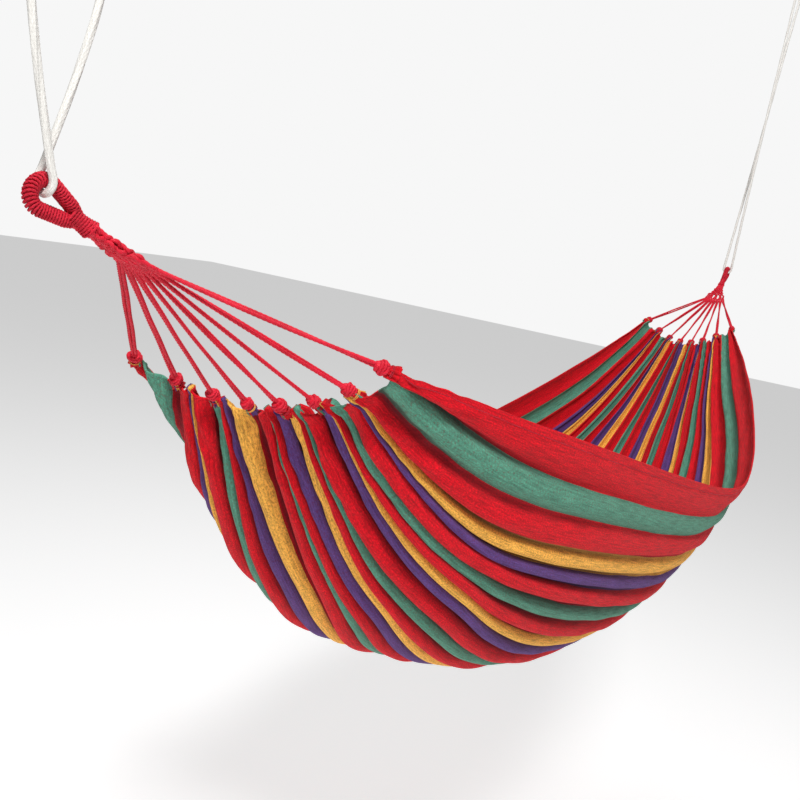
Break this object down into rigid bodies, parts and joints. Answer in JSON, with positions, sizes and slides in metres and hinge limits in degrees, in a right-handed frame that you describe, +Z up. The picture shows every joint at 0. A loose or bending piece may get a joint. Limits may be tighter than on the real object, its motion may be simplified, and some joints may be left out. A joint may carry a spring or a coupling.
{
  "type": "rope hammock",
  "caption": "Striped woven hammock without spreader bars, gathered at both ends onto doubled cords, plaited clews and served eyes, hung from white tree ropes",
  "frame": {"origin": "middle of the near rope's knot, on the support that the near rope hangs from", "axes": "+X from the near end to the far end, +Y to the side of the deeper rim, +Z up"},
  "size_m": [2.5439, 0.7911, 1.8049],
  "materials": {
    "striped_cloth": "matte woven",
    "gathered_cloth": "matte woven",
    "red_cord": "matte twisted",
    "white_rope": "satin braided"
  },
  "bodies": {
    "supports": {"near_rope_knot": "white_rope", "far_rope_knot": "white_rope"},
    "slings": {"near_tree_rope": "white_rope", "far_tree_rope": "white_rope"},
    "hammock": {"fabric_bed": "striped_cloth", "near_gather_knot_1": "gathered_cloth", "near_gather_knot_2": "gathered_cloth", "near_gather_knot_3": "gathered_cloth", "near_gather_knot_4": "gathered_cloth", "near_gather_knot_5": "gathered_cloth", "near_gather_knot_6": "gathered_cloth", "near_gather_knot_7": "gathered_cloth", "near_gather_knot_8": "gathered_cloth", "far_gather_knot_1": "gathered_cloth", "far_gather_knot_2": "gathered_cloth", "far_gather_knot_3": "gathered_cloth", "far_gather_knot_4": "gathered_cloth", "far_gather_knot_5": "gathered_cloth", "far_gather_knot_6": "gathered_cloth", "far_gather_knot_7": "gathered_cloth", "far_gather_knot_8": "gathered_cloth", "near_cord_1": "red_cord", "near_cord_2": "red_cord", "near_cord_3": "red_cord", "near_cord_4": "red_cord", "near_cord_5": "red_cord", "near_cord_6": "red_cord", "near_cord_7": "red_cord", "near_cord_8": "red_cord", "far_cord_1": "red_cord", "far_cord_2": "red_cord", "far_cord_3": "red_cord", "far_cord_4": "red_cord", "far_cord_5": "red_cord", "far_cord_6": "red_cord", "far_cord_7": "red_cord", "far_cord_8": "red_cord", "near_clew_braid": "red_cord", "far_clew_braid": "red_cord", "near_neck_whipping": "red_cord", "far_neck_whipping": "red_cord", "near_eye_core": "red_cord", "far_eye_core": "red_cord", "near_eye_serving": "red_cord", "far_eye_serving": "red_cord"}
  },
  "joints": [
    {"name": "swing", "type": "hinge", "parent": "supports", "child": "slings", "pos_m": [0, 0, 0], "axis": [0.9506, 0, 0.3104], "range_deg": [-30, 30]},
    {"name": "bed_roll", "type": "hinge", "parent": "slings", "child": "hammock", "pos_m": [0, 0, -0.21], "axis": [0.9985, 0, 0.0545], "range_deg": [-25, 25]}
  ]
}
